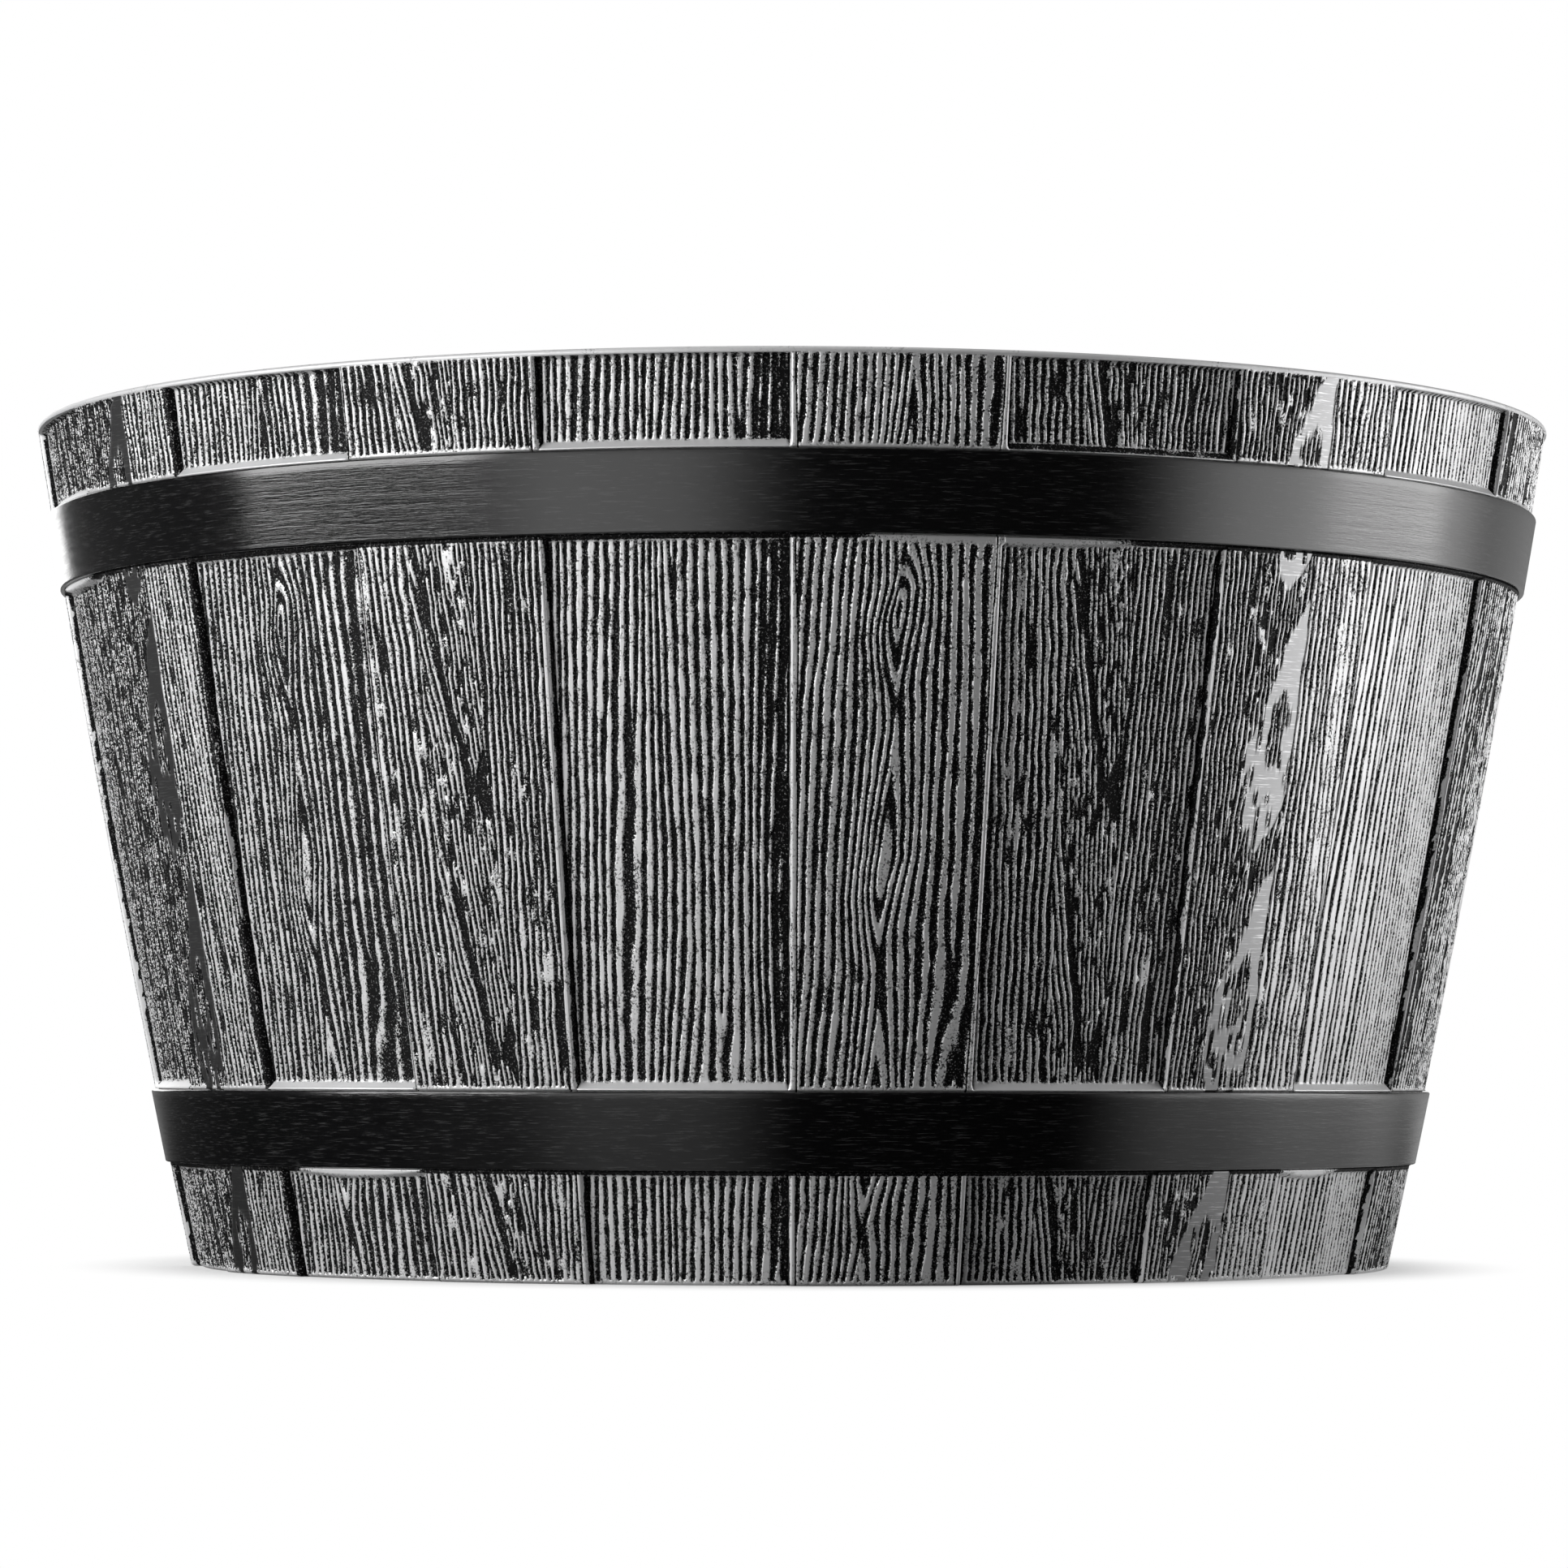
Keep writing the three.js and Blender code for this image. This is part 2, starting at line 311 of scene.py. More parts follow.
def flecked(s, z, seed=61):
    """Short broken strokes all over, with a few dark lanes."""
    lane_spacing = 5.2
    fine_pitch = 1.6
    u = s + 0.03 * (z - middle_height) + wander(s, z, seed, wide=0.8, narrow=0.5)
    lane = np.cos(FULL * (u / lane_spacing + 0.2 * ripple(u / 9, z / 50, seed + 4)))
    fine = strokes(
        u, z, fine_pitch, -0.85, seed + 5, gaps=0.3, bridges=0.06, gap_long=4.5, bridge_long=3.5)
    return np.minimum(fine, 2.6 * (lane + 0.35)), no_patch + 0 * s


def faded(s, z):
    """Upright ridges that fade out towards the right."""
    return straight(s, z, seed=7, pitch=2.4, bias=-0.04, fade=1.0, lean=0.03, count=8, rough=1.0)


def crowded(s, z):
    """Broad upright ridges with sharp sides, closer together towards the right."""
    field, bare = straight(
        s, z, seed=21, pitch=2.45, bias=0.42, fade=0.3, lean=0.0, count=5, rough=0.6, squeeze=0.6)
    return 2 * field, bare


def hairline(s, z):
    """Thin upright ridges with sharp sides, between wide grooves."""
    field, bare = straight(s, z, seed=31, pitch=2.6, bias=-0.2, fade=0.0, lean=0.04, count=6, rough=0.4)
    return 6 * field - 3.3, bare


# The figure of each stave, starting just right of the middle in front and going round by the right side
figures = (
    diamond, arrow, teardrop, crowded, hairline, faded, arrow, diamond, teardrop, crowded, diamond,
    arrow, hairline, faded, arrow, teardrop, diamond,
    flecked, worn_teardrop, sparse_diamond, full_arrow, faded,
)


def heights(low, high):
    """Heights from low to just under high, closer together near both ends."""
    if high - low < 2 * fine_reach:
        return np.linspace(low, high, math.ceil((high - low) / fine_row), endpoint=False)
    inner_low, inner_high = low + fine_reach, high - fine_reach
    fine = math.ceil(fine_reach / fine_row)
    middle = math.ceil((inner_high - inner_low) / row_height)
    return np.concatenate((
        np.linspace(low, inner_low, fine, endpoint=False),
        np.linspace(inner_low, inner_high, middle, endpoint=False),
        np.linspace(inner_high, high, fine, endpoint=False),
    ))


seats = [(low - fit_gap, high + fit_gap) for low, high in hoop_heights]
seat_corner = 0.05  # how far up the step into a seat runs
levels = [0, foot_round]
recess_curve = [(0, 1)]
seat_curve = [(0, 0)]
for low, high in seats:
    levels += [low - under_ledge, low, low + seat_corner, high - seat_corner, high, high + ledge_rise]
    recess_curve += [(low - under_ledge, 1), (low, 0), (high, 0), (high + ledge_rise, 1)]
    seat_curve += [(low, 0), (low + seat_corner, 1), (high - seat_corner, 1), (high, 0)]
levels += [stave_top - lip_slope, panel_top]
recess_curve += [(stave_top - lip_slope, 1), (stave_top, 0)]
rows = [heights(low, high) for low, high in zip(levels, levels[1:])]
rows = np.concatenate(rows + [[panel_top]])[:, None]
recess_share = np.interp(rows, *zip(*recess_curve))
in_seat = np.interp(rows, *zip(*seat_curve))
foot = np.clip(foot_round - rows, 0, foot_round)
foot_inset = foot_round - np.sqrt(foot_round ** 2 - foot ** 2)


def joined(a, b, rounding=0.5):
    """The higher of two fields, with the corners between them rounded."""
    return (a + b + np.sqrt((a - b) ** 2 + rounding)) / 2


def sliver_share(angles, low):
    """How much silver shows under the hoop whose seat starts at low: 1 in a sliver's middle, 0 beyond it."""
    bearing = (np.degrees(angles) + 180) % 360 - 180
    shares = [1 - ((bearing - middle) / half) ** 2 for edge, middle, half in slivers if edge == low + fit_gap]
    return np.clip(np.max(shares, axis=0), 0, 1)


def ends_of_grain(angles, proud):
    """A field that rises above 0 where the grain stops: at the lip, at the ledges and at the bottom edge."""
    mean_radius = 200
    stop_reach = 8
    around = angles * mean_radius + 0 * rows
    uneven = 0.25 * ripple(around / 3, rows / 50, 70) + 0.1 * ripple(around / 0.8, rows / 50, 71)
    if proud:
        stops = [(0, 1.0, 1), (panel_top, 0.3, -1)]
        stops += [(low, 0.8 + 1.2 * sliver_share(angles, low), -1) for low, _ in seats]
        stops += [(high, 0.8, 1) for _, high in seats]
    else:
        stops = [(0, 0.9, 1), (panel_top, 0.1, -1)]
        stops += [(low - under_ledge, 0.1 + 1.0 * sliver_share(angles, low), -1) for low, _ in seats]
        stops += [(high + ledge_rise, 0.1, 1) for _, high in seats]
    beyond = -np.inf
    for stop, margin, side in stops:
        inside = side * (rows - stop)  # distance from the stop into the grain
        near = np.abs(inside) < stop_reach
        beyond = np.maximum(beyond, np.where(near, margin + uneven - inside, -np.inf))
    in_hoops = np.zeros_like(rows)
    for low, high in seats:
        in_hoops = in_hoops + ((rows >= low - under_ledge) & (rows <= high + ledge_rise) & (recess_share < 1))
    if proud:
        in_hoops = in_hoops * (in_seat > 0)
    return np.maximum(np.clip(2.2 * beyond, -3, 2), np.where(in_hoops > 0, 2.0, -3.0))


def stave_panel(number):
    """The closed body of one stave's panel, with the fields that its material reads."""
    proud = number % 2 == 0
    start = number // 2 * pair_angle + (0 if proud else proud_angle)
    end = start + (proud_angle if proud else pair_angle - proud_angle)
    inset = -step_draft if proud else step_draft
    first, last = start + inset, end - inset
    count = round((last - first) * top_radius / column_width)
    if proud:
        edge = edge_reach / top_radius
        angles = np.concatenate((
            np.linspace(first, first + edge, edge_columns, endpoint=False),
            np.linspace(first + edge, last - edge, count, endpoint=False),
            np.linspace(last - edge, last, edge_columns + 1),
        ))
    else:
        angles = np.linspace(first, last, count)
    round_wall = wall_radius(rows)
    s = (angles - (start + end) / 2) * round_wall
    field, bare = figures[number](s, rows + 0 * s)
    field = joined(field, ends_of_grain(angles, proud))
    off_edge = np.minimum(angles - first, last - angles) * round_wall
    side = number + 0.5 * (s > 0)
    crevice = dark_side + 0.14 * ripple(rows / 9, side, 82) + 0.1 * ripple(rows / 2.5, side, 84)
    if proud:
        bead_end = np.where(np.isin(side, broad_beads), broad_bead, thin_bead)
        bead_end = dark_side + bead_end * (1 + 0.3 * ripple(rows / 22, side, 81))
        bead = 1.3 + 1.2 * ripple(off_edge / 0.45, rows / 14, number + 90)
        bead = bead + 0.7 * ripple(off_edge / 0.4, rows / 2.5, number + 120)
        bead = bead - 1.7 * np.isin(side, worn_beads)
        field = np.minimum(field, 4 * np.abs(off_edge - bead_end - bead_groove / 2) - 1)
        field = np.where(off_edge < bead_end, bead, field)
        bare = np.where(off_edge < bead_end + bead_groove, no_patch, bare)
        rise = 1 - (1 - np.clip(off_edge / edge_rounding, 0, 1)) ** edge_bow
    else:
        rise = 0
    recess = recess_share + 0 * s
    for low, _ in seats:
        share = sliver_share(angles, low)
        drop = sliver_height * share
        filled = ramp(rows, low - drop - 0.6, low - drop) * (share > 0) * (rows <= low)
        recess = recess * (1 - filled)
    on_border = 1 - ramp(off_edge, *border)
    groove = 1 - ramp(field, -0.4, 0.2)
    groove = groove + (0.55 - groove) * ramp(bare, -0.2, 0.1)
    groove = groove + (recess - groove) * on_border
    groove = groove * (1 - in_seat)
    radius = round_wall - skin - foot_inset - seat_depth * in_seat
    radius = radius - stave_step * recess * (1 - rise) - grain_depth * groove
    on_step = -1.0
    if number in speckled_steps:
        on_step = -0.35 + 0.4 * ripple(off_edge / 0.2, rows / 3, number + 150)
    paint = np.where(off_edge < crevice * recess, on_step, field)
    # Under each hoop a narrow band is painted black as the hoop's shadow on the staves, broken only by the
    # thin slivers of silver.
    for low, _ in seats:
        share = sliver_share(angles, low)
        sliver = 3.5 * share - 1.0
        painted_shadow_under_hoop = (rows > low - np.maximum(under_ledge, sliver_height * share)) & (rows < low + 1)
        paint = np.where(painted_shadow_under_hoop, np.minimum(paint, sliver), paint)
    if number in dark_ledges:
        _, ledge = seats[-1]
        over_hoop = (rows > ledge) & (rows < ledge + ledge_rise)
        paint = np.where(over_hoop, 1.2 * ripple(angles * 50, rows / 3, 85) - 0.9, paint)
    back_angles = np.linspace(first, last, back_columns)
    back_radius = round_wall - panel_back + 0 * back_angles
    return mesh_from_grids(angles, radius, back_angles, back_radius, paint, bare)


def mesh_from_grids(angles, radius, back_angles, back_radius, paint, bare):
    """Joins a front grid and a back grid into a closed mesh. The front fills most of the map."""
    row_count, columns = radius.shape
    backs = len(back_angles)
    grids = ((angles, radius), (back_angles, back_radius))
    points = [np.stack((r * np.sin(a), -r * np.cos(a), rows + 0 * r), -1).reshape(-1, 3) for a, r in grids]
    front = np.arange(row_count * columns).reshape(row_count, columns)
    back = front.size + np.arange(row_count * backs).reshape(row_count, backs)
    quads = (
        (front[:-1, :-1], front[:-1, 1:], front[1:, 1:], front[1:, :-1]),
        (back[:-1, :-1], back[1:, :-1], back[1:, 1:], back[:-1, 1:]),
        (front[:-1, :1], front[1:, :1], back[1:, :1], back[:-1, :1]),
        (front[:-1, -1:], back[:-1, -1:], back[1:, -1:], front[1:, -1:]),
    )
    faces = np.concatenate([np.stack(quad, -1).reshape(-1, 4) for quad in quads]).tolist()
    faces.append(front[-1].tolist() + back[-1, ::-1].tolist())
    faces.append(front[0, ::-1].tolist() + back[0].tolist())
    mesh = bpy.data.meshes.new("stave_panel")
    mesh.from_pydata((np.concatenate(points) * MM).tolist(), [], faces)
    front_faces = (row_count - 1) * (columns - 1)
    smooth = np.zeros(len(faces), bool)
    smooth[:front_faces] = True
    mesh.polygons.foreach_set("use_smooth", smooth)
    for name, values in (("paint", paint), ("bare", bare)):
        padded = np.concatenate((values.ravel(), np.full(back.size, -1.0))).astype(np.float32)
        mesh.attributes.new(name, "FLOAT", "POINT").data.foreach_set("value", padded)
    across = [(a - angles[0]) / (angles[-1] - angles[0]) + 0 * r for a, r in grids]
    upward = [rows / panel_top + 0 * r for _, r in grids]
    across, upward = (np.concatenate([grid.ravel() for grid in part]) for part in (across, upward))
    corner = np.zeros(len(mesh.loops), np.int32)
    mesh.loops.foreach_get("vertex_index", corner)
    is_front = np.arange(len(corner)) < front_faces * 4
    start, extent = (np.where(is_front, a, b) for a, b in zip(front_band, back_band))
    uv = np.stack((map_margin + (1 - 2 * map_margin) * across[corner], start + extent * upward[corner]), -1)
    mesh.uv_layers.new(name="OFBake").uv.foreach_set("vector", uv.astype(np.float32).ravel())
    mesh.update()
    return mesh


def feed(tree, socket, value):
    """Gives an input socket a value, or links another node's output to it."""
    if isinstance(value, bpy.types.NodeSocket):
        tree.links.new(value, socket)
    else:
        socket.default_value = value


def node(tree, kind, settings=None, **inputs):
    """A shader node with its inputs fed. In an input's name, an underscore stands for a space."""
    made = tree.nodes.new("ShaderNode" + kind)
    for name, value in (settings or {}).items():
        setattr(made, name, value)
    for name, value in inputs.items():
        feed(tree, made.inputs[name.replace("_", " ")], value)
    return made


def maths(tree, operation, *values, clamp=False):
    """The result of a Math node."""
    made = tree.nodes.new("ShaderNodeMath")
    made.operation = operation
    made.use_clamp = clamp
    for socket, value in zip(made.inputs, values):
        feed(tree, socket, value)
    return made.outputs[0]


def blended(tree, share, a, b, kind="FLOAT"):
    """The result of a Mix node: a where share is 0, and b where it is 1."""
    made = tree.nodes.new("ShaderNodeMix")
    made.data_type = kind
    *places, output = {"FLOAT": (0, 2, 3, 0), "RGBA": (0, 6, 7, 2)}[kind]
    for i, value in zip(places, (share, a, b)):
        feed(tree, made.inputs[i], value)
    return made.outputs[output]


def grains(tree, place, size, detail=1.0, spread=0.5):
    """Noise with features of a size in mm."""
    made = node(tree, "TexNoise", Vector=place, Scale=1000 / size, Detail=detail, Roughness=spread)
    return made.outputs[0]


def new_group(name, inputs, outputs):
    """An empty node group, with what its group input gives and what its group output takes."""
    tree = bpy.data.node_groups.new(name, "ShaderNodeTree")
    for label, value in inputs.items():
        kind = "NodeSocketFloat" if isinstance(value, (int, float)) else "NodeSocketColor"
        tree.interface.new_socket(name=label, in_out="INPUT", socket_type=kind).default_value = value
    for label, kind in outputs.items():
        tree.interface.new_socket(name=label, in_out="OUTPUT", socket_type=kind)
    entry = tree.nodes.new("NodeGroupInput").outputs
    leave = tree.nodes.new("NodeGroupOutput").inputs
    return tree, entry, leave


def use_group(tree, group, **inputs):
    """A node group placed in a material, with its own values."""
    made = tree.nodes.new("ShaderNodeGroup")
    made.node_tree = group
    for name, value in inputs.items():
        feed(tree, made.inputs[name], value)
    return made.outputs


# Fine streaks that run round the tub, as a wiping cloth or a brush leaves them
streaks, given, result = new_group(
    "wiping_streaks", {"Length": 12.0, "Width": 0.3}, {"Streak": "NodeSocketFloat"}
)
place = node(streaks, "TexCoord").outputs["Object"]
along = maths(streaks, "DIVIDE", 1000.0, given["Length"])
across = maths(streaks, "DIVIDE", 1000.0, given["Width"])
scale = node(streaks, "CombineXYZ", X=along, Y=along, Z=across).outputs[0]
stretched = node(streaks, "VectorMath", {"operation": "MULTIPLY"})
streaks.links.new(place, stretched.inputs[0])
streaks.links.new(scale, stretched.inputs[1])
drawn = node(streaks, "TexNoise", Vector=stretched.outputs[0], Scale=1.0, Detail=3.0, Roughness=0.6)
streaks.links.new(drawn.outputs[0], result["Streak"])

# Silver wiped over black resin. It holds where Paint is above 0, with a ragged edge, small pits in it and
# specks beside it. Where Bare is above 0 the resin is smooth, and only a thin grey film is left.
resin_rough = 0.6
silver_rough = 0.42
film_rough = 0.3
silver_metal = 0.42
film_metal = 0.95
edge_size = 0.55
fray = 3.6  # how far the noise moves the silver's edge
edge_sharpness = 5.5
pit_size = 0.62
worn_size = 6.0  # of the areas that have pits
speck_size = 0.45
mottle_size = 9.0
wiped, given, result = new_group(
    "wiped_silver",
    {"Paint": 0.0, "Bare": -1.0, "Silver": (0.5, 0.5, 0.5, 1), "Resin": (0.01, 0.01, 0.01, 1),
     "Film": (0.1, 0.1, 0.1, 1)},
    {"Color": "NodeSocketColor", "Roughness": "NodeSocketFloat", "Metallic": "NodeSocketFloat",
     "Height": "NodeSocketFloat"},
)
place = node(wiped, "TexCoord").outputs["Object"]
edge_noise = maths(wiped, "SUBTRACT", grains(wiped, place, edge_size, detail=2.0, spread=0.7), 0.5)
ragged_paint = maths(wiped, "MULTIPLY_ADD", edge_noise, fray, given["Paint"])
covered = maths(wiped, "MULTIPLY_ADD", ragged_paint, edge_sharpness, 0.5, clamp=True)
pit_noise = maths(wiped, "SUBTRACT", grains(wiped, place, pit_size), 0.53)
thin_paint = maths(wiped, "SUBTRACT", 2.0, given["Paint"], clamp=True)
worn = maths(wiped, "MULTIPLY_ADD", grains(wiped, place, worn_size), 6.0, -2.4, clamp=True)
pits = maths(wiped, "MULTIPLY", maths(wiped, "MULTIPLY", pit_noise, 9.0, clamp=True), thin_paint)
pits = maths(wiped, "MULTIPLY", pits, worn)
speck_noise = maths(wiped, "SUBTRACT", grains(wiped, place, speck_size), 0.6)
specks = maths(wiped, "MULTIPLY", speck_noise, 7.0, clamp=True)
held = maths(wiped, "MULTIPLY", covered, maths(wiped, "MULTIPLY_ADD", pits, -0.85, 1.0))
amount = maths(wiped, "MAXIMUM", held, maths(wiped, "MULTIPLY", specks, 0.3))
mottle = grains(wiped, place, mottle_size, detail=3.0, spread=0.6)
amount = maths(wiped, "MULTIPLY", amount, maths(wiped, "MULTIPLY_ADD", mottle, 0.3, 0.85))
streak = use_group(wiped, streaks, Length=7.0, Width=0.35)["Streak"]
smoothed = maths(wiped, "MULTIPLY_ADD", edge_noise, 1.2, given["Bare"])
smoothed = maths(wiped, "MULTIPLY_ADD", smoothed, 4.0, 0.5, clamp=True)
scratch = maths(wiped, "MULTIPLY", maths(wiped, "SUBTRACT", streak, 0.56), 6.0, clamp=True)
film = blended(wiped, scratch, given["Film"], given["Silver"], "RGBA")
film = blended(wiped, 0.5, given["Film"], film, "RGBA")
colour = blended(wiped, amount, given["Resin"], given["Silver"], "RGBA")
colour = blended(wiped, smoothed, colour, film, "RGBA")
rough = blended(wiped, amount, resin_rough, silver_rough)
rough = blended(wiped, smoothed, rough, film_rough)
metal = blended(wiped, smoothed, maths(wiped, "MULTIPLY", amount, silver_metal), film_metal)
relief = blended(wiped, smoothed, amount, maths(wiped, "MULTIPLY", streak, 0.3))
wiped.links.new(colour, result["Color"])
wiped.links.new(rough, result["Roughness"])
wiped.links.new(metal, result["Metallic"])
wiped.links.new(relief, result["Height"])


def new_material(name):
    """A material with an empty tree, its Principled shader and its output."""
    material = bpy.data.materials.new(name)
    material.use_nodes = True
    tree = material.node_tree
    tree.nodes.clear()
    shader = tree.nodes.new("ShaderNodeBsdfPrincipled")
    output = tree.nodes.new("ShaderNodeOutputMaterial")
    tree.links.new(shader.outputs[0], output.inputs["Surface"])
    return material, tree, shader.inputs


silver = (0.8, 0.8, 0.805, 1)
black_resin = (0.0025, 0.0025, 0.0028, 1)
film_grey = (0.23, 0.23, 0.232, 1)
resin_gloss = 0.12
stave_finish, tree, finish = new_material("wood_effect_resin")
paint = node(tree, "Attribute", {"attribute_name": "paint"}).outputs["Fac"]
bare = node(tree, "Attribute", {"attribute_name": "bare"}).outputs["Fac"]
surface = use_group(tree, wiped, Paint=paint, Bare=bare, Silver=silver, Resin=black_resin, Film=film_grey)
finish["Specular IOR Level"].default_value = resin_gloss
tree.links.new(surface["Color"], finish["Base Color"])
tree.links.new(surface["Roughness"], finish["Roughness"])
tree.links.new(surface["Metallic"], finish["Metallic"])
bump = node(tree, "Bump", Height=surface["Height"], Distance=0.1 * MM, Strength=0.7)
tree.links.new(bump.outputs[0], finish["Normal"])

for number in range(2 * stave_pairs):
    panel = bpy.data.objects.new(f"stave_panel_{number + 1:02d}", stave_panel(number))
    bpy.context.scene.collection.objects.link(panel)
    panel.data.materials.append(stave_finish)
    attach(panel, "tub")
    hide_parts("tub")

# ---- Tub shell ----
# The rest of the same moulding: the round lip and thick rim, the plain black inside, the floor with its five
# drain holes, the foot and the hollow under the floor. It is turned from one outline and then drilled.
shell_back = 3.6  # from the wall to the hidden outside of the shell, which the panels' backs reach into
inner_set = 5.2
floor_lift = 8
floor_top = 12
floor_fillet = 8
foot_width = 10
rim_width = 9
rim_depth = 10
rim_taper = 6
rim_round = 1
lip_bottom = 223.55
lip_top = height - 0.02
lip_silver = 4.5  # how far in from the edge of the lip its silver reaches
silver_fade = 2.2
unpainted = -2.5
foot_bottom = 0.05
inner_ring = 20  # radius of the innermost ring of points of the floor
drain_hole = 6
drain_circle = 95
drain_chamfer = 0.6
drain_places = [(0, 0)]
for i in range(4):
    turn = FULL * (i + 0.5) / 4
    drain_places.append((drain_circle * math.cos(turn), drain_circle * math.sin(turn)))


def arc(centre_r, centre_z, radius, start, end, steps):
    """Points of an arc in an outline. Angles are degrees, from outwards towards up."""
    turns = [math.radians(start + (end - start) * i / steps) for i in range(steps + 1)]
    return [(centre_r + radius * math.cos(turn), centre_z + radius * math.sin(turn)) for turn in turns]


def turned(name, outline, columns, centre=(0, 0, 0), closed=False):
    """A body turned about an upright axis. Its outline runs from axis to axis, or closes on itself."""
    points, rings = [], []
    for radius, z in outline:
        around = 1 if radius < 1e-6 else columns
        rings.append([len(points) + i for i in range(around)])
        for i in range(around):
            turn = FULL * i / columns
            x, y = radius * math.sin(turn), -radius * math.cos(turn)
            points.append((x + centre[0], y + centre[1], z + centre[2]))
    faces = []
    for ring, following in zip(rings, rings[1:] + rings[:1] if closed else rings[1:]):
        for i in range(columns):
            j = (i + 1) % columns
            corners = [ring[i % len(ring)], ring[j % len(ring)],
                       following[j % len(following)], following[i % len(following)]]
            corners = list(dict.fromkeys(corners))
            if len(corners) > 2:
                faces.append(corners)
    mesh = bpy.data.meshes.new(name)
    mesh.from_pydata([Vector(point) * MM for point in points], [], faces)
    mesh.polygons.foreach_set("use_smooth", [True] * len(faces))
    mesh.set_sharp_from_angle(angle=math.radians(50))
    made = bpy.data.objects.new(name, mesh)
    bpy.context.scene.collection.objects.link(made)
    return made


fillet_top = floor_top + floor_fillet
inside_heights = np.linspace(fillet_top, height - rim_depth - rim_taper, 25)[1:]
outside_heights = np.linspace(lip_bottom, foot_bottom, 30)
fillet_centre = wall_radius(fillet_top) - inner_set - floor_fillet
rim_inside = top_radius - rim_width
lip_radius = top_radius - skin
lip_flat = np.linspace(lip_radius - rim_round, rim_inside + rim_round, 6)[1:-1]
floor_rings = [(radius, floor_lift) for radius in np.linspace(base_radius - foot_width, inner_ring, 12)]
outline = [(0, floor_lift)]
outline += floor_rings[::-1]
outline += [(base_radius - foot_width, foot_bottom)]
outline += [(wall_radius(z) - shell_back, z) for z in outside_heights[::-1]]
outline += [(wall_radius(lip_bottom) - skin - 0.03, lip_bottom)]
outline += arc(lip_radius - rim_round, lip_top - rim_round, rim_round, 0, 90, 6)
outline += [(radius, lip_top) for radius in lip_flat]
outline += arc(rim_inside + rim_round, lip_top - rim_round, rim_round, 90, 180, 6)
outline += [(rim_inside, height - rim_depth + 1), (rim_inside + 0.2, height - rim_depth)]
outline += [(wall_radius(z) - inner_set, z) for z in inside_heights[::-1]]
outline += arc(fillet_centre, fillet_top, floor_fillet, 0, -90, 8)
outline += [(radius, floor_top) for radius in np.linspace(fillet_centre, inner_ring, 12)[1:]]
outline += [(0, floor_top)]
shell = turned("tub_shell", outline, 360)

hole = [
    (0, floor_lift - 1),
    (drain_hole + drain_chamfer + 1, floor_lift - 1),
    (drain_hole, floor_lift + drain_chamfer),
    (drain_hole, floor_top - drain_chamfer),
    (drain_hole + drain_chamfer + 1, floor_top + 1),
    (0, floor_top + 1),
]
for x, y in drain_places:
    drill = turned("drill", hole, 72, (x, y, 0))
    cut = shell.modifiers.new("drain_hole", "BOOLEAN")
    cut.object = drill
    cut.operation = "DIFFERENCE"
    cut.solver = "EXACT"
    bpy.context.view_layer.update()
    drilled = bpy.data.meshes.new_from_object(shell.evaluated_get(bpy.context.evaluated_depsgraph_get()))
    shell.modifiers.clear()
    shell.data = drilled
    bpy.data.objects.remove(drill)
shell.data.name = "tub_shell"

# Drilling leaves a few points on top of each other, which are welded
welded = bmesh.new()
welded.from_mesh(shell.data)
bmesh.ops.remove_doubles(welded, verts=welded.verts, dist=0.001 * MM)
welded.to_mesh(shell.data)
welded.free()

spots = np.zeros(len(shell.data.vertices) * 3, np.float32)
shell.data.vertices.foreach_get("co", spots)
spots = spots.reshape(-1, 3) / MM
out = np.hypot(spots[:, 0], spots[:, 1])
on_lip = (out - (lip_radius - lip_silver)) / silver_fade
on_lip = np.where(spots[:, 2] > lip_bottom - 0.1, on_lip, unpainted)
shell.data.attributes.new("paint", "FLOAT", "POINT").data.foreach_set(
    "value", np.clip(on_lip, unpainted, 2).astype(np.float32))

inside_black = (0.028, 0.028, 0.029, 1)
shell_finish, tree, finish = new_material("plain_black_resin")
paint = node(tree, "Attribute", {"attribute_name": "paint"}).outputs["Fac"]
place = node(tree, "TexCoord").outputs["Object"]
patchy = maths(tree, "SUBTRACT", grains(tree, place, 14.0, detail=4.0, spread=0.6), 0.5)
paint = maths(tree, "MULTIPLY_ADD", patchy, 3.0, paint)
surface = use_group(tree, wiped, Paint=paint, Silver=silver, Resin=inside_black, Film=film_grey)
tree.links.new(surface["Color"], finish["Base Color"])
tree.links.new(surface["Metallic"], finish["Metallic"])
drawn = use_group(tree, streaks, Length=30.0, Width=1.1)["Streak"]
rough = maths(tree, "MULTIPLY_ADD", drawn, 0.3, 0.36)
tree.links.new(rough, finish["Roughness"])
pebble = grains(tree, place, 0.9, detail=2.0)
bumps = maths(tree, "MULTIPLY_ADD", drawn, 0.8, pebble)
bump = node(tree, "Bump", Height=bumps, Distance=0.08 * MM, Strength=0.6)
tree.links.new(bump.outputs[0], finish["Normal"])
shell.data.materials.clear()
shell.data.materials.append(shell_finish)
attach(shell, "tub")
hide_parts("tub")

# ---- Hoops ----
# Two bands of black resin made to look like iron, each seated in a groove of the staves and standing a little
# proud of them. Their outside has rounded edges and fine brush marks that run round the tub.
hoop_proud = 0.86
hoop_thickness = 1.46
hoop_edge = 0.55
hoop_black = (0.0035, 0.0035, 0.0038, 1)
hoop_grey = (0.06, 0.06, 0.061, 1)
hoop_gloss = 0.74

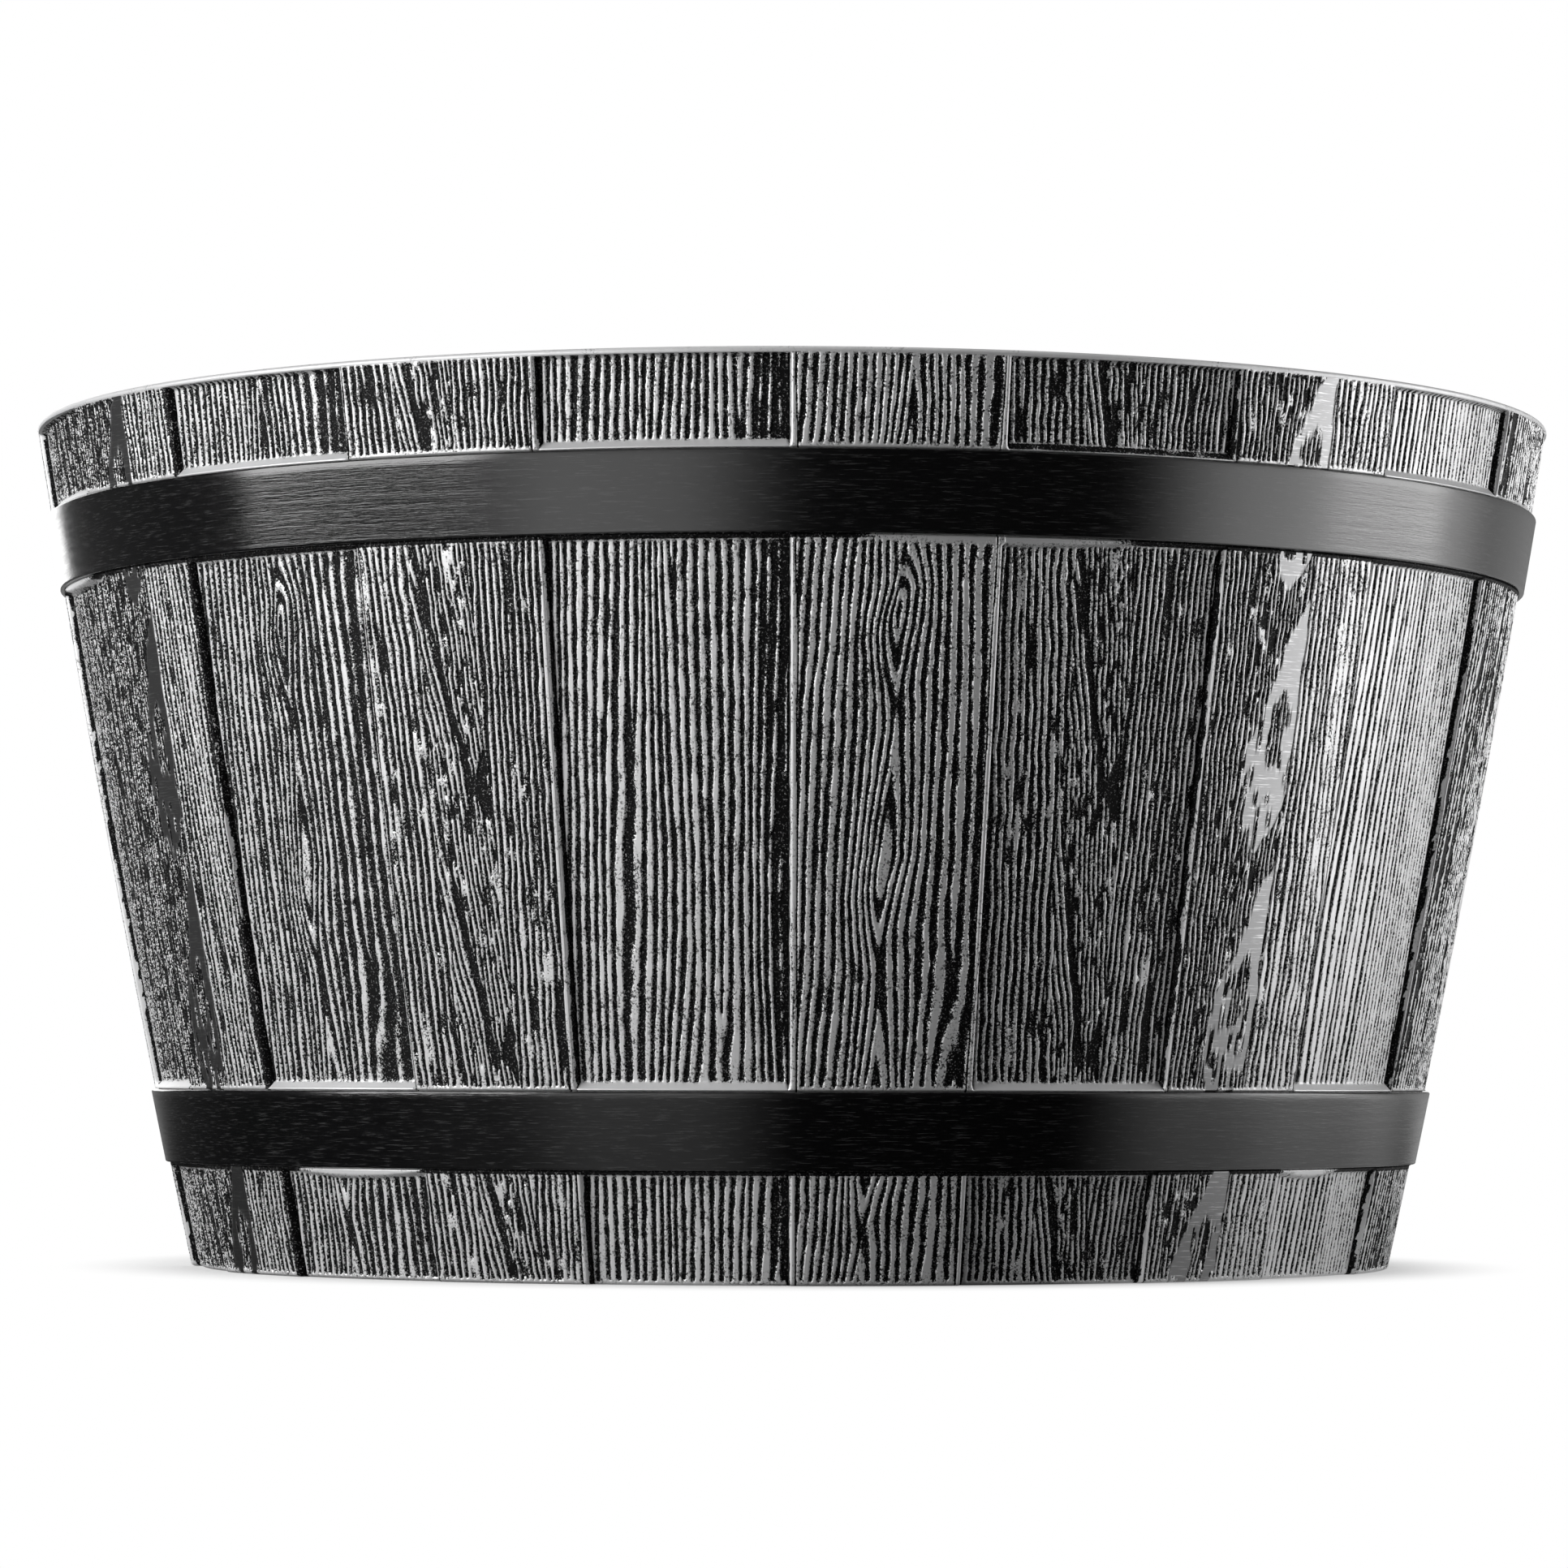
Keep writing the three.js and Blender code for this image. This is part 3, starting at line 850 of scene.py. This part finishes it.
hoop_finish, tree, finish = new_material("black_band")
finish["Specular IOR Level"].default_value = hoop_gloss
broad = use_group(tree, streaks, Length=45.0, Width=1.6)["Streak"]
thin = use_group(tree, streaks, Length=5.5, Width=0.34)["Streak"]
marks = maths(tree, "MULTIPLY", maths(tree, "SUBTRACT", thin, 0.55), 7.0, clamp=True)
tint = blended(tree, maths(tree, "MULTIPLY", marks, 0.6), hoop_black, hoop_grey, "RGBA")
tree.links.new(tint, finish["Base Color"])
rough = maths(tree, "MULTIPLY_ADD", broad, 0.16, 0.03)
rough = maths(tree, "MULTIPLY_ADD", thin, 0.1, rough)
tree.links.new(rough, finish["Roughness"])
bumps = maths(tree, "MULTIPLY_ADD", broad, 1.5, thin)
bump = node(tree, "Bump", Height=bumps, Distance=0.05 * MM, Strength=0.7)
tree.links.new(bump.outputs[0], finish["Normal"])

for name, (low, high) in zip(("lower_hoop", "upper_hoop"), hoop_heights):
    face = [(wall_radius(z) + hoop_proud, z) for z in np.linspace(low + hoop_edge, high - hoop_edge, 12)]
    top_edge = arc(face[-1][0] - hoop_edge, high - hoop_edge, hoop_edge, 0, 90, 5)[1:]
    low_edge = arc(face[0][0] - hoop_edge, low + hoop_edge, hoop_edge, -90, 0, 5)[:-1]
    inner = [(wall_radius(z) + hoop_proud - hoop_thickness, z) for z in (high, low)]
    band = turned(name + "_band", low_edge + face + top_edge + inner, 480, closed=True)
    band.data.materials.append(hoop_finish)
    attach(band, "tub")
    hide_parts(name)

# ---- Drain plugs ----
# Soft black rubber stoppers, put into the drain holes from inside to keep water in. Each has a shank with a
# fine groove and a tapered end, a flange that lies on the floor, and a small round head to pull it by.
plug_black = (0.075, 0.075, 0.075, 1)
plug_dust = (0.26, 0.255, 0.245, 1)
shank_length = 7
shank_radius = 5.65
tip_radius = 4.4
tip_round = 0.8
groove_radius = 5.3
flange_radius = 10
flange_bottom = 0.3
low_round = 0.4
top_round = 0.7
plug_outline = [(0, -shank_length)]
plug_outline += arc(tip_radius - tip_round, tip_round - shank_length, tip_round, -90, 0, 4)
plug_outline += [(4.7, -5.6), (5.1, -4.9), (5.5, -4.2), (shank_radius, -3.8)]
plug_outline += [(shank_radius, -2.5), (groove_radius, -2.2), (groove_radius, -1.8), (shank_radius, -1.5)]
plug_outline += [(shank_radius, 0.05), (shank_radius + 0.25, flange_bottom)]
plug_outline += [(flange_radius - low_round, flange_bottom)]
plug_outline += arc(flange_radius - low_round, flange_bottom + low_round, low_round, -90, 0, 3)[1:]
plug_outline += arc(flange_radius - top_round, 0.95, top_round, 0, 75, 5)[1:]
plug_outline += [(7.5, 1.95), (5.5, 2.4), (4.2, 2.75), (3.3, 3.3)]
plug_outline += [(2.65, 4.1), (2.4, 4.9), (2.6, 5.4), (3.2, 5.8)]
plug_outline += arc(2.8, 6.95, 1.15, -55, 75, 8)
plug_outline += [(2.4, 8.35), (1.6, 8.6), (0.8, 8.68), (0, 8.7)]

plug_finish, tree, finish = new_material("plug_rubber")
place = node(tree, "TexCoord").outputs["Object"]
dusty = maths(tree, "SUBTRACT", grains(tree, place, 3.5, detail=4.0, spread=0.7), 0.52)
dusty = maths(tree, "MULTIPLY", dusty, 3.0, clamp=True)
tree.links.new(blended(tree, dusty, plug_black, plug_dust, "RGBA"), finish["Base Color"])
tree.links.new(maths(tree, "MULTIPLY_ADD", dusty, 0.2, 0.62), finish["Roughness"])
pores = grains(tree, place, 0.35, detail=2.0)
bump = node(tree, "Bump", Height=pores, Distance=0.05 * MM, Strength=0.7)
tree.links.new(bump.outputs[0], finish["Normal"])

for number, (x, y) in enumerate(drain_places):
    name = f"drain_plug_{number + 1}"
    stopper = turned(name + "_stopper", plug_outline, 72, (x, y, floor_top))
    stopper.data.materials.append(plug_finish)
    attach(stopper, name)
    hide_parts(name)

# ---- Floor, background and lights ----
# A plain pale floor under a white sky. Glossy surfaces mirror a room that is bright in front on the left and
# at the right side, and dim elsewhere, so the hoops are black in the middle and grey towards both sides.
floor_size = 6000
floor_drop = 0.1
floor_mesh = bpy.data.meshes.new("floor")
half = floor_size / 2
corners = [(x, y, -floor_drop) for x, y in ((-half, -half), (half, -half), (half, half), (-half, half))]
floor_mesh.from_pydata([Vector(corner) * MM for corner in corners], [], [(0, 1, 2, 3)])
floor = bpy.data.objects.new("floor", floor_mesh)
bpy.context.scene.collection.objects.link(floor)

# Brightness of the surroundings in a direction round the tub: 0 degrees is the front (-Y), 90 is +X
room_gain = 3.0
room_light = (
    (-180, 0.3), (-130, 0.08), (-101, 0.05), (-77, 0.05), (-55, 0.3), (-34, 1.45), (-20, 1.3), (2, 0.02),
    (50, 0.02), (74, 2.1), (92, 3.0), (112, 2.0), (135, 0.5), (180, 0.3),
)
surround, given, result = new_group(
    "surroundings", {"Across": 0.0, "Away": 0.0}, {"Light": "NodeSocketFloat"}
)
bearing = maths(surround, "ARCTAN2", given["Across"], maths(surround, "MULTIPLY", given["Away"], -1.0))
turned_by = maths(surround, "MULTIPLY_ADD", bearing, 1 / FULL, 0.5)
room = node(surround, "ValToRGB", Fac=turned_by)
room.color_ramp.interpolation = "EASE"
stops = room.color_ramp.elements
while len(stops) < len(room_light):
    stops.new(0.5)
for stop, (degrees, light) in zip(stops, room_light):
    stop.position = (degrees + 180) / 360
    stop.color = (light / room_gain, light / room_gain, light / room_gain, 1)
surround.links.new(maths(surround, "MULTIPLY", room.outputs["Color"], room_gain), result["Light"])

glow_centre = 100  # how far in front of the tub's middle the bearings on the floor are taken from
floor_paint = bpy.data.materials.new("pale_floor")
floor_paint.use_nodes = True
tree = floor_paint.node_tree
tree.nodes.clear()
where = node(tree, "SeparateXYZ", Vector=node(tree, "NewGeometry").outputs["Position"]).outputs
from_front = maths(tree, "ADD", where["Y"], glow_centre * MM)
glow = use_group(tree, surround, Across=where["X"], Away=from_front)["Light"]
matt = node(tree, "BsdfDiffuse", Color=(0.3, 0.3, 0.3, 1)).outputs[0]
shaded = node(tree, "BsdfDiffuse", Color=(0.9, 0.9, 0.9, 1)).outputs[0]
white = node(tree, "Emission", Color=(1, 1, 1, 1), Strength=1.0).outputs[0]
off_axis = maths(tree, "SQRT", maths(tree, "ADD", maths(tree, "POWER", where["X"], 2.0),
                                     maths(tree, "POWER", where["Y"], 2.0)))
# The floor's mirrored glow is dimmed near the tub: a painted shadow of the tub, as glossy surfaces see the
# floor.
painted_shadow_near_tub = node(tree, "MapRange", {"interpolation_type": "SMOOTHSTEP"}, Value=off_axis,
                From_Min=0.17, From_Max=0.75, To_Min=0.22, To_Max=1.0).outputs[0]
glow = maths(tree, "MULTIPLY", glow, painted_shadow_near_tub)
mirrored = node(tree, "Emission", Color=(1, 1, 1, 1), Strength=glow).outputs[0]
rays = node(tree, "LightPath").outputs


def either(tree, share, a, b):
    """The result of a Mix Shader node: a where share is 0, and b where it is 1."""
    made = tree.nodes.new("ShaderNodeMixShader")
    for socket, value in zip(made.inputs, (share, a, b)):
        feed(tree, socket, value)
    return made.outputs[0]


clear = node(tree, "MapRange", {"interpolation_type": "SMOOTHSTEP"}, Value=off_axis,
             From_Min=0.13, From_Max=0.2, To_Min=0.0, To_Max=1.0).outputs[0]
seen = either(tree, clear, shaded, white)
shader = either(tree, rays["Is Glossy Ray"], matt, mirrored)
shader = either(tree, rays["Is Camera Ray"], shader, seen)
output = tree.nodes.new("ShaderNodeOutputMaterial")
tree.links.new(shader, output.inputs["Surface"])
floor.data.materials.append(floor_paint)

world = bpy.data.worlds.new("studio")
world.use_nodes = True
bpy.context.scene.world = world
tree = world.node_tree
tree.nodes.clear()
heading = node(tree, "SeparateXYZ", Vector=node(tree, "TexCoord").outputs["Generated"]).outputs
glow = use_group(tree, surround, Across=heading["X"], Away=heading["Y"])["Light"]
overhead = node(tree, "MapRange", Value=heading["Z"], From_Min=0.0, From_Max=0.35, To_Min=1.0, To_Max=0.25)
glow = maths(tree, "MULTIPLY", glow, overhead.outputs[0])
rays = node(tree, "LightPath").outputs
dim = node(tree, "Background", Color=(1, 1, 1, 1), Strength=0.16).outputs[0]
mirrored = node(tree, "Background", Color=(1, 1, 1, 1), Strength=glow).outputs[0]
white = node(tree, "Background", Color=(1, 1, 1, 1), Strength=1.0).outputs[0]
shader = either(tree, rays["Is Glossy Ray"], dim, mirrored)
shader = either(tree, rays["Is Camera Ray"], shader, white)
shader = either(tree, rays["Is Transmission Ray"], shader, white)
output = tree.nodes.new("ShaderNodeOutputWorld")
tree.links.new(shader, output.inputs["Surface"])

# Softboxes: name, place, aimed at, width, height, radiance
softboxes = (
    ("key_left", (-1750, -800, 520), (0, 0, 110), 1500, 1300, 6.6),
    ("fill_right", (1350, 150, 520), (0, 0, 110), 700, 1000, 2.6),
    ("overhead", (-300, -100, 2000), (0, 0, 0), 1500, 1500, 0.7),
    ("back_fill", (-500, 1900, 600), (0, 0, 110), 1400, 900, 2.4),
)
for name, place, target, width, tall, radiance in softboxes:
    lamp = bpy.data.lights.new(name, "AREA")
    lamp.shape = "RECTANGLE"
    lamp.size = width * MM
    lamp.size_y = tall * MM
    lamp.energy = radiance * math.pi * width * tall * MM * MM
    box = bpy.data.objects.new(name, lamp)
    bpy.context.scene.collection.objects.link(box)
    aim = (Vector(target) - Vector(place)).to_track_quat("-Z", "Y").to_matrix().to_4x4()
    aim.translation = Vector(place) * MM
    box.matrix_world = aim

bpy.context.scene.view_settings.view_transform = "Standard"
